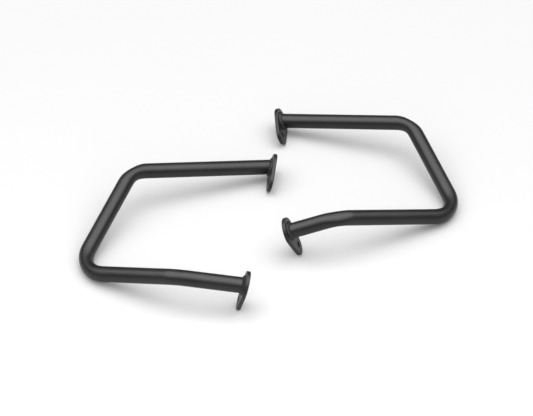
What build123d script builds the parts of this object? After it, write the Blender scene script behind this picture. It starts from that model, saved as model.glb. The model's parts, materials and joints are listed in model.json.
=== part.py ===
import os
from math import acos, cos, degrees, hypot, pi, radians, sin, sqrt

from build123d import *

os.makedirs("parts", exist_ok=True)

# Motorcycle crash bars, a left and a right one, lying on the floor as a pair.
# The floor is Z = 0, +X points from the left bar to the right one and +Y to the back.

# Steel tube, the same for both bars
tube_diameter = 25.0
tube_wall = 2.0
bend_radius = 47.0  # centre line of the two wide bends of a bar
bend_squash = 1.5  # how far their inside and outside are pressed in, half way round
kink_radius = 75.0  # centre line of the shallow bend before the lower plate
left_kink_squash = 1.5
right_kink_squash = 3.0
bend_stations = [0, 0.1, 0.3, 0.5, 0.7, 0.9, 1]  # shares of a bend where its section is drawn

# Flange plate at each tube end: a big round end for the tube, a small one for the bolt
plate_thickness = 6.0
tube_end_radius = 23.0
bolt_end_radius = 17.0
bolt_offset = 33.5  # tube centre to bolt centre
bolt_hole_diameter = 10.5  # clears an M10 bolt
plate_edge_radius = 1.0

# Fillet weld round the tube on the plate
weld_leg = 4.0
weld_toe = 0.4  # thickness left at the upper edge of the bead

# Left bar, corner to corner of its centre line: out from the bike, in to it, to the front
left_flange_x = -2.0
left_flange_y = 100.2
left_upper_out = 228.0
left_upper_front = 62.0
left_side_out = 80.0
left_side_front = 190.0
left_side_drop = 57.0
left_lower_in = 163.0
left_lower_front = 67.0
left_lower_rise = 49.0
left_tail_in = 103.0
left_tail_front = 15.5
left_plate_lean = 14.5  # degrees that the outer faces look down
left_plate_turn = -3.0  # degrees that the outer faces look to the back

# Right bar, in the same terms
right_flange_x = 19.0
right_flange_y = 234.2
right_upper_out = 217.0
right_upper_front = 57.0
right_side_out = 73.0
right_side_front = 186.0
right_side_drop = 55.0
right_lower_in = 206.5
right_lower_front = 85.5
right_lower_rise = 65.0
right_tail_in = 73.5
right_tail_front = 7.0
right_plate_lean = 23.0  # degrees
right_plate_turn = 4.0  # degrees

# Degrees that each plate is turned in its own plane, from the bolt end straight down.
# The upper plate lies on its straight side, the lower one stands on its bolt end.
upper_plate_roll = degrees(acos((tube_end_radius - bolt_end_radius) / bolt_offset))
lower_plate_roll = 9.0  # degrees

tube_radius = tube_diameter / 2
up = Vector(0, 0, 1)


def hang(lean, roll):
    # Height of the tube centre, at the plate, when the plate's lowest point is on the floor
    ends = [(0.0, tube_end_radius), (bolt_offset, bolt_end_radius)]
    reach = max(offset * cos(radians(roll)) + radius for offset, radius in ends)
    slope = radians(lean)
    flat_depth = (plate_thickness - plate_edge_radius) * sin(slope)
    return (reach - plate_edge_radius) * cos(slope) + flat_depth + plate_edge_radius


def squash_at(station, deepest):
    # A bend is round at both its ends and flattest half way
    return deepest * sin(pi * station) ** 2


def corner_height(to_upper, to_lower):
    # Height of the low corner's vertex when its bend touches the floor
    to_upper = to_upper.normalized()
    to_lower = to_lower.normalized()
    half_angle = radians(to_upper.get_angle(to_lower)) / 2
    to_centre = (to_upper + to_lower).normalized()
    bend_normal = to_upper.cross(to_lower).normalized()
    steepness = sqrt(1 - bend_normal.Z**2)
    lowest = to_centre.Z * bend_radius / sin(half_angle) - bend_radius * steepness

    # The pressed section reaches down less far than a round one
    downhill = bend_normal * bend_normal.Z - up
    past_middle = radians(downhill.get_angle(-to_centre)) / (pi - 2 * half_angle)
    pressed_radius = tube_radius - squash_at(0.5 + past_middle, bend_squash)
    return hypot(pressed_radius * steepness, tube_radius * bend_normal.Z) - lowest


def seat_plane(centre, outward, lean, turn, roll):
    # Tube-side face of a plate: Z out of the plate away from the tube, X to the bolt hole
    slope = radians(lean)
    swing = radians(turn)
    normal = Vector(outward * cos(slope) * cos(swing), cos(slope) * sin(swing), -sin(slope))
    downhill = normal * normal.Z - up
    to_bolt = downhill.rotate(Axis((0, 0, 0), normal), roll)
    return Plane(centre, x_dir=to_bolt, z_dir=normal)


def make_tube(label, corners, upper_seat, lower_seat, kink_squash):
    # The ends run on through the plates and are mitred flush to the seats
    first = corners[0] + (corners[0] - corners[1]).normalized() * tube_diameter
    last = corners[-1] + (corners[-1] - corners[-2]).normalized() * tube_diameter
    bend_radii = [bend_radius, bend_radius, kink_radius]
    bend_depths = [bend_squash, bend_squash, kink_squash]
    with BuildPart() as tube:
        with BuildLine() as route:
            FilletPolyline(first, *corners[1:-1], last, radius=bend_radii)
        bends = route.edges().filter_by(GeomType.CIRCLE).sort_by(route.wire())
        # The outside, then the bore: round runs, with pressed bends between them
        for radius, mode in [(tube_radius, Mode.ADD), (tube_radius - tube_wall, Mode.SUBTRACT)]:
            for run in route.edges().filter_by(GeomType.LINE):
                with BuildSketch(Plane(run @ 0, z_dir=run % 0)):
                    Circle(radius)
                extrude(amount=run.length, mode=mode)
            for bend, deepest in zip(bends, bend_depths):
                across = (bend % 0).cross(bend % 1)
                for station in bend_stations:
                    with BuildSketch(Plane(bend @ station, x_dir=across, z_dir=bend % station)):
                        if 0 < station < 1:
                            Ellipse(radius, radius - squash_at(station, deepest))
                        else:
                            Circle(radius)
                sweep(path=bend, multisection=True, mode=mode)
        for seat in (upper_seat, lower_seat):
            with BuildSketch(seat):
                Circle(tube_diameter)
            extrude(amount=2 * tube_diameter, mode=Mode.SUBTRACT)
    tube.part.label = label
    export_step(tube.part, f"parts/{label}.step")


def make_flange(label, seat):
    with BuildPart() as flange:
        with BuildSketch(seat):
            Circle(tube_end_radius)
            with Locations((bolt_offset, 0)):
                Circle(bolt_end_radius)
            make_hull()
        extrude(amount=plate_thickness)
        fillet(flange.faces().filter_by(Axis(seat.origin, seat.z_dir)).edges(), plate_edge_radius)
        with Locations(seat.offset(plate_thickness)):
            with Locations((bolt_offset, 0)):
                Hole(bolt_hole_diameter / 2)
    flange.part.label = label
    export_step(flange.part, f"parts/{label}.step")


def make_weld(label, seat, tube_direction):
    # The tube meets the plate at a slant, so the bead is a loft between two ellipses
    normal = seat.z_dir
    slant_cosine = tube_direction.dot(normal)
    along_slant = tube_direction - normal * slant_cosine
    toe_centre = seat.origin - tube_direction * (weld_leg / slant_cosine)
    with BuildPart() as weld:
        for centre, growth in [(seat.origin, weld_leg), (toe_centre, weld_toe)]:
            with BuildSketch(Plane(centre, x_dir=along_slant, z_dir=normal)):
                Ellipse(tube_radius / slant_cosine + growth, tube_radius + growth)
        loft()
        with BuildSketch(Plane(seat.origin, z_dir=tube_direction)):
            Circle(tube_radius)
        extrude(amount=tube_diameter, both=True, mode=Mode.SUBTRACT)
    weld.part.label = label
    export_step(weld.part, f"parts/{label}.step")


def make_bar(name, outward, start, upper, side, lower, tail, lean, turn, kink_squash):
    # outward is the way the outer plate faces look: +1 for the left bar, -1 for the right
    side_step = Vector(-outward * side[0], -side[1], -side[2])
    lower_step = Vector(outward * lower[0], -lower[1], lower[2])
    low_z = corner_height(-side_step, lower_step)
    plan = Vector(*start) + Vector(-outward * upper[0], -upper[1])
    upper_bend = Vector(plan.X, plan.Y, low_z - side_step.Z)
    low_corner = upper_bend + side_step
    kink = low_corner + lower_step
    upper_end = Vector(*start, hang(lean, upper_plate_roll))
    plan = Vector(kink.X, kink.Y) + Vector(outward * tail[0], -tail[1])
    lower_end = Vector(plan.X, plan.Y, hang(lean, lower_plate_roll))
    corners = [upper_end, upper_bend, low_corner, kink, lower_end]

    upper_seat = seat_plane(upper_end, outward, lean, turn, -outward * upper_plate_roll)
    lower_seat = seat_plane(lower_end, outward, lean, turn, outward * lower_plate_roll)
    make_tube(f"{name}_tube", corners, upper_seat, lower_seat, kink_squash)
    make_flange(f"{name}_upper_flange", upper_seat)
    make_flange(f"{name}_lower_flange", lower_seat)
    make_weld(f"{name}_upper_weld", upper_seat, (upper_end - upper_bend).normalized())
    make_weld(f"{name}_lower_weld", lower_seat, (lower_end - kink).normalized())


make_bar(
    "left",
    outward=1,
    start=(left_flange_x, left_flange_y),
    upper=(left_upper_out, left_upper_front),
    side=(left_side_out, left_side_front, left_side_drop),
    lower=(left_lower_in, left_lower_front, left_lower_rise),
    tail=(left_tail_in, left_tail_front),
    lean=left_plate_lean,
    turn=left_plate_turn,
    kink_squash=left_kink_squash,
)
make_bar(
    "right",
    outward=-1,
    start=(right_flange_x, right_flange_y),
    upper=(right_upper_out, right_upper_front),
    side=(right_side_out, right_side_front, right_side_drop),
    lower=(right_lower_in, right_lower_front, right_lower_rise),
    tail=(right_tail_in, right_tail_front),
    lean=right_plate_lean,
    turn=right_plate_turn,
    kink_squash=right_kink_squash,
)
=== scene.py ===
import json
import random
from math import cos, exp, pi, radians, sin, tau

import bmesh
import bpy
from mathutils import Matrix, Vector


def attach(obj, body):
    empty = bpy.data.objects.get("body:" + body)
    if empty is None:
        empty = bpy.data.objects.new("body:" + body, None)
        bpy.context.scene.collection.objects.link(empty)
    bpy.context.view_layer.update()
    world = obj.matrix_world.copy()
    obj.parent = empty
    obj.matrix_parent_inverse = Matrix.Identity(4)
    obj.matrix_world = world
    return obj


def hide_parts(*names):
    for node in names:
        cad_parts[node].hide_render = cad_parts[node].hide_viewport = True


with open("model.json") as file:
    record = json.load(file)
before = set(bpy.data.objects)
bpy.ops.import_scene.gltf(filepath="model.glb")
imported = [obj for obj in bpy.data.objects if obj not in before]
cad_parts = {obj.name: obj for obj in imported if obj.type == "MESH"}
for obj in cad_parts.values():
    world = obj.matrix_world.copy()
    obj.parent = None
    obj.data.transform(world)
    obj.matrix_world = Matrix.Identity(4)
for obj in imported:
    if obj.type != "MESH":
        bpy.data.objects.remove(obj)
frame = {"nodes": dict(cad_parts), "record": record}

scene = bpy.context.scene
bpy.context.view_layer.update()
print("frame loaded:", len(frame["nodes"]), "CAD nodes")


# Shader wiring
class Wire:
    # one output socket; arithmetic on it adds Math nodes
    def __init__(self, bench, socket):
        self.bench = bench
        self.socket = socket

    def join(self, operation, first, second):
        return self.bench.node("Math", {"operation": operation}, {0: first, 1: second})

    def __add__(self, other):
        return self.join("ADD", self, other)

    def __radd__(self, other):
        return self.join("ADD", other, self)

    def __sub__(self, other):
        return self.join("SUBTRACT", self, other)

    def __rsub__(self, other):
        return self.join("SUBTRACT", other, self)

    def __mul__(self, other):
        return self.join("MULTIPLY", self, other)

    def __rmul__(self, other):
        return self.join("MULTIPLY", other, self)


class Bench:
    # the node tree of one new material, and its shader
    def __init__(self, name):
        self.material = bpy.data.materials.new(name)
        self.material.use_nodes = True
        self.tree = self.material.node_tree
        self.tree.nodes.clear()
        self.shader = self.tree.nodes.new("ShaderNodeBsdfPrincipled")
        output = self.tree.nodes.new("ShaderNodeOutputMaterial")
        self.tree.links.new(self.shader.outputs["BSDF"], output.inputs["Surface"])

    def fill(self, node, sockets):
        for key, value in sockets.items():
            if isinstance(value, Wire):
                self.tree.links.new(value.socket, node.inputs[key])
            else:
                node.inputs[key].default_value = value

    def node(self, kind, settings, sockets, take=0):
        made = self.tree.nodes.new("ShaderNode" + kind)
        for key, value in settings.items():
            if key == "stops":  # two of them, as a new ramp has
                for element, (position, shade) in zip(made.color_ramp.elements, value):
                    element.position = position
                    element.color = (shade, shade, shade, 1.0)
            else:
                setattr(made, key, value)
        self.fill(made, sockets)
        return Wire(self, made.outputs[take])

    def grain(self, place, size, detail=2.0, roughness=0.5):
        # noise whose lumps are about this many metres across
        return self.node(
            "TexNoise",
            {"noise_dimensions": "3D"},
            {"Vector": place, "Scale": 1 / size, "Detail": detail, "Roughness": roughness},
            "Fac",
        )

    def step(self, value, stops):
        # 0 up to the first stop, rising to 1 at the second
        start, end = stops
        ramp = {"stops": [(start, 0.0), (end, 1.0)]}
        return self.node("ValToRGB", ramp, {"Fac": value}, "Color")

    def blend(self, factor, first, second):
        # colour from the first to the second by the factor
        return self.node(
            "Mix",
            {"data_type": "RGBA"},
            {"Factor": factor, "A": (*first, 1.0), "B": (*second, 1.0)},
            "Result",
        )


# Satin black powder coat, the same powder on every piece
coatLook = {
    "colour": (0.0036, 0.0036, 0.0037),
    "faded": (0.0056, 0.0056, 0.0057),  # where the film is a little thinner
    "roughness": 0.42,
    "roughnessDrift": 0.07,
    "cloudSize": 0.045,  # metres, as are all sizes and depths
    "cloudDetail": 3.0,
    "fadeStops": (0.35, 0.70),  # cloud values where fading starts and is full
    "fadeAmount": 0.6,  # how far it then goes to the faded colour
    "peelSize": 0.0022,  # the soft waves of a sprayed and baked film
    "peelDepth": 0.00005,
    "grainSize": 0.00045,  # the fine sandy texture
    "grainDepth": 0.000035,
    "grainDetail": 3.0,
    "grainRoughness": 0.6,
    "speckSize": 0.0009,
    "speckDetail": 1.0,
    "speckStops": (0.66, 0.74),  # noise values where a speck starts and is full
    "speckAmount": 0.30,  # how far the lightest specks go to the faded colour
    "speckRoughness": 0.04,  # how much rougher a speck is
    "specular": 0.38,
}
flangeLook = {"grainGain": 1.2, "roughnessShift": 0.03}  # flat plate, a little coarser
weldLook = {"grainGain": 0.8, "roughnessShift": -0.02}  # the film runs smoother on a bead


def powderCoat(name, look, grainGain=1.0, roughnessShift=0.0):
    bench = Bench(name)
    place = bench.node("TexCoord", {}, {}, "Object")
    cloud = bench.grain(place, look["cloudSize"], look["cloudDetail"])
    peel = bench.grain(place, look["peelSize"])
    grain = bench.grain(place, look["grainSize"], look["grainDetail"], look["grainRoughness"])
    speck = bench.grain(place, look["speckSize"], look["speckDetail"])
    specks = bench.step(speck, look["speckStops"])
    fade = bench.step(cloud, look["fadeStops"])
    worn = fade * look["fadeAmount"] + specks * look["speckAmount"]
    tone = bench.blend(worn, look["colour"], look["faded"])
    waves = bench.node(
        "Bump", {}, {"Strength": 1.0, "Distance": look["peelDepth"], "Height": peel}
    )
    sand = bench.node(
        "Bump",
        {},
        {
            "Strength": 1.0,
            "Distance": look["grainDepth"] * grainGain,
            "Height": grain,
            "Normal": waves,
        },
    )
    gloss = look["roughness"] + roughnessShift
    drift = (cloud - 0.5) * look["roughnessDrift"]  # the noise lies round 0.5
    bench.fill(
        bench.shader,
        {
            "Base Color": tone,
            "Roughness": gloss + drift + specks * look["speckRoughness"],
            "Normal": sand,
            "Specular IOR Level": look["specular"],
        },
    )
    return bench.material


tubeCoat = powderCoat("tubeCoat", coatLook)
flangeCoat = powderCoat("flangeCoat", coatLook, **flangeLook)
weldCoat = powderCoat("weldCoat", coatLook, **weldLook)
for nodeName, node in frame["nodes"].items():
    if nodeName.endswith("tube"):
        node.material_slots[0].material = tubeCoat
    elif nodeName.endswith("flange"):
        node.material_slots[0].material = flangeCoat
print("coats made:", tubeCoat.name, flangeCoat.name, weldCoat.name)

# Weld beads, laid in the corner between each tube end and its plate
beadLook = {
    "tubeRadius": 0.0125,  # metres, as in the CAD
    "plateThickness": 0.006,
    "leg": 0.0040,  # reach along the tube and along the plate
    "legWander": 0.00022,  # slow change of the legs
    "fewestWaves": 2,  # round the tube, in each slow change
    "legWaves": 7,  # the wave counts stay below these
    "pitchWaves": 9,
    "heightWaves": 11,
    "waveShares": (0.4, 1.0),  # weakest and strongest wave
    "waveGain": 1.6,
    "crown": 0.00030,  # swell of the face over a flat fillet
    "ripplePitch": 0.0026,
    "pitchWander": 0.35,  # in ripples
    "rippleHeight": 0.00020,
    "heightWander": 0.3,  # share of the height
    "rippleBow": 0.42,  # how far a ripple lags at its toes, in ripples
    "rippleSkew": 0.6,  # makes one side of a ripple steeper
    "toeRipple": 0.25,  # share of the ripple height left at the toes
    "sunk": 0.10,  # share of the face that runs on into tube and plate
    "stopLump": 0.00040,  # where the bead ends on its own start
    "stopSpread": 0.22,  # radians
    "stopWander": 0.5,  # radians either way from straight under the tube
    "stepsPerRipple": 9,
    "stepsAcross": 12,
    "seed": 7,
}
# the bend that each tube end comes from, in metres
beadBends = {
    "left_upper": (-0.2300, 0.0382, 0.061212),
    "left_lower": (-0.1470, -0.2188, 0.053212),
    "right_upper": (0.2360, 0.1772, 0.059274),
    "right_lower": (0.1025, -0.0943, 0.069274),
}
plateFaces = {mount["name"]: mount for mount in frame["record"]["mounts"]}


def slowWaves(chance, look, waveLimit):
    # a smooth closed curve round the tube, between about -1 and 1
    waves = []
    for count in range(look["fewestWaves"], waveLimit):
        start = chance.uniform(0.0, tau)
        share = chance.uniform(*look["waveShares"])
        waves.append((count, start, share))
    total = sum(share for count, start, share in waves)

    def height(turn):
        summed = sum(share * sin(count * turn + start) for count, start, share in waves)
        return summed / total * look["waveGain"]

    return height


def weldBead(name, bend, face, look, chance):
    normal = Vector(face["axis"])  # out of the plate, away from the tube
    seat = Vector(face["pos_m"]) - normal * look["plateThickness"]
    along = (seat - Vector(bend)).normalized()
    slant = along.dot(normal)
    across = along.cross(Vector((0.0, 0.0, 1.0))).normalized()
    over = across.cross(along)
    radius = look["tubeRadius"]
    ripples = round(tau * (radius + look["leg"] / 2) / look["ripplePitch"])
    rows = ripples * look["stepsPerRipple"]
    tubeLegWaves = slowWaves(chance, look, look["legWaves"])
    plateLegWaves = slowWaves(chance, look, look["legWaves"])
    pitchWaves = slowWaves(chance, look, look["pitchWaves"])
    heightWaves = slowWaves(chance, look, look["heightWaves"])
    stop = -pi / 2 + chance.uniform(-look["stopWander"], look["stopWander"])
    steps = look["stepsAcross"]
    low, high = -look["sunk"], 1.0 + look["sunk"]
    depth = look["sunk"] * look["leg"]

    bead = bmesh.new()
    rings = []
    for row in range(rows):
        turn = tau * row / rows
        ray = across * cos(turn) + over * sin(turn)
        step = over * cos(turn) - across * sin(turn)
        seam = seat + radius * (ray - along * (ray.dot(normal) / slant))  # tube wall on plate
        run = step - along * (step.dot(normal) / slant)  # the way the seam runs
        outward = run.cross(normal).normalized()  # over the plate, away from the tube
        if outward.dot(ray) < 0:
            outward = -outward
        away = (outward - along).normalized()  # out of the bead's face
        fromStop = (turn - stop + pi) % tau - pi
        lump = look["stopLump"] * exp(-((fromStop / look["stopSpread"]) ** 2))
        beat = ripples * turn / tau + look["pitchWander"] * pitchWaves(turn)
        tubeToe = seam - along * (look["leg"] / slant + look["legWander"] * tubeLegWaves(turn))
        plateToe = seam + outward * (look["leg"] + look["legWander"] * plateLegWaves(turn))
        rippleGain = 1 + look["heightWander"] * heightWaves(turn)
        ring = []
        for place in range(steps + 1):
            share = low + (high - low) * place / steps
            middle = max(0.0, 4 * share * (1 - share))  # 1 half way across, 0 at the toes
            phase = tau * (beat - look["rippleBow"] * (2 * share - 1) ** 2)
            scale = sin(phase + look["rippleSkew"] * sin(phase)) * rippleGain
            fullness = look["toeRipple"] + (1 - look["toeRipple"]) * middle
            swell = (look["crown"] + lump) * middle
            swell += look["rippleHeight"] * scale * fullness
            ring.append(bead.verts.new(tubeToe.lerp(plateToe, share) + away * swell))
        ring.append(bead.verts.new(seam - ray * depth + normal * depth))
        rings.append(ring)
    for row, ring in enumerate(rings):
        following = rings[(row + 1) % rows]
        for place in range(len(ring)):
            beyond = (place + 1) % len(ring)
            bead.faces.new((ring[place], ring[beyond], following[beyond], following[place]))
    bmesh.ops.recalc_face_normals(bead, faces=bead.faces)
    mesh = bpy.data.meshes.new(name)
    bead.to_mesh(mesh)
    bead.free()
    mesh.polygons.foreach_set("use_smooth", [True] * len(mesh.polygons))
    mesh.materials.append(weldCoat)
    piece = bpy.data.objects.new(name, mesh)
    scene.collection.objects.link(piece)
    return piece


for corner, bend in beadBends.items():
    chance = random.Random(f"{corner} {beadLook['seed']}")
    bead = weldBead(f"{corner}_bead", bend, plateFaces[f"{corner}_face"], beadLook, chance)
    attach(bead, "root")
    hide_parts(f"{corner}_weld")
    print("bead laid:", bead.name, len(bead.data.polygons), "faces")

# Floor; the light brings it up to near white
floorLook = {
    "size": 60.0,
    "tone": 0.222,
    "mist": 0.01,  # share by which the tone drifts
    "mistSize": 0.8,
    "roughness": 0.9,
}

floorBench = Bench("paleFloor")
floorPlace = floorBench.node("TexCoord", {}, {}, "Object")
floorMist = floorBench.grain(floorPlace, floorLook["mistSize"])
floorDark = floorLook["tone"] * (1 - floorLook["mist"])
floorPale = floorLook["tone"] * (1 + floorLook["mist"])
floorTone = floorBench.blend(floorMist, (floorDark,) * 3, (floorPale,) * 3)
floorBench.fill(
    floorBench.shader,
    {"Base Color": floorTone, "Roughness": floorLook["roughness"], "Specular IOR Level": 0.0},
)
half = floorLook["size"] / 2
floorCorners = [(-half, -half, 0), (half, -half, 0), (half, half, 0), (-half, half, 0)]
floorMesh = bpy.data.meshes.new("floor")
floorMesh.from_pydata(floorCorners, [], [(0, 1, 2, 3)])
floorMesh.materials.append(floorBench.material)
floor = bpy.data.objects.new("floor", floorMesh)
scene.collection.objects.link(floor)
print("floor laid")

# Studio light, in metres and watts
studio = {
    "boxPlace": (-0.7, -0.65, 5.0),
    "boxWidth": 12.4,
    "boxDepth": 7.3,
    "boxPower": 1325.0,
    "keyPlace": (0.22, 1.32, 6.16),
    "keySize": 5.7,
    "keyPower": 276.0,
    "fillPlace": (0.0, -0.74, 0.37),
    "fillSize": 0.6,
    "fillPower": 5.7,
    "surround": 1.42,
}

boxLight = bpy.data.lights.new("overheadBox", "AREA")
boxLight.shape = "RECTANGLE"
boxLight.size = studio["boxWidth"]
boxLight.size_y = studio["boxDepth"]
boxLight.energy = studio["boxPower"]
overheadBox = bpy.data.objects.new("overheadBox", boxLight)
overheadBox.location = studio["boxPlace"]
scene.collection.objects.link(overheadBox)


def floorLight(name, place, size, power):
    # a round light turned to the bars; it lights the floor and doesn't show in the coat
    lamp = bpy.data.lights.new(name, "AREA")
    lamp.shape = "DISK"
    lamp.size = size
    lamp.energy = power
    holder = bpy.data.objects.new(name, lamp)
    holder.location = place
    holder.rotation_euler = Vector(place).to_track_quat("Z", "Y").to_euler()
    holder.visible_glossy = False
    scene.collection.objects.link(holder)


floorLight("softKey", studio["keyPlace"], studio["keySize"], studio["keyPower"])
floorLight("frontFill", studio["fillPlace"], studio["fillSize"], studio["fillPower"])

surround = bpy.data.worlds.new("surround")
surround.use_nodes = True
background = surround.node_tree.nodes["Background"]
background.inputs["Color"].default_value = (*[studio["surround"]] * 3, 1.0)
surround.cycles_visibility.glossy = False
scene.world = surround
scene.view_settings.view_transform = "Standard"
print("studio lit")

# Camera at the photograph's angle
cameraSetup = {
    "lookAt": (-0.00898, 0.01869, 0.0),
    "elevation": 38.3480,  # degrees above the floor
    "distance": 2.9086,
    "focalPixels": 1758.3,
    "imageWidth": 533,
    "sensorWidth": 36.0,
    "nearest": 0.05,
    "farthest": 200.0,
}
rise = radians(cameraSetup["elevation"])
back = Vector((0.0, -cos(rise), sin(rise)))
cameraData = bpy.data.cameras.new("camera")
cameraData.sensor_width = cameraSetup["sensorWidth"]
focalShare = cameraSetup["focalPixels"] / cameraSetup["imageWidth"]
cameraData.lens = cameraSetup["sensorWidth"] * focalShare
cameraData.clip_start = cameraSetup["nearest"]
cameraData.clip_end = cameraSetup["farthest"]
camera = bpy.data.objects.new("camera", cameraData)
camera.location = Vector(cameraSetup["lookAt"]) + back * cameraSetup["distance"]
camera.rotation_euler = (-back).to_track_quat("-Z", "Y").to_euler()
scene.collection.objects.link(camera)
scene.camera = camera
print("camera set")
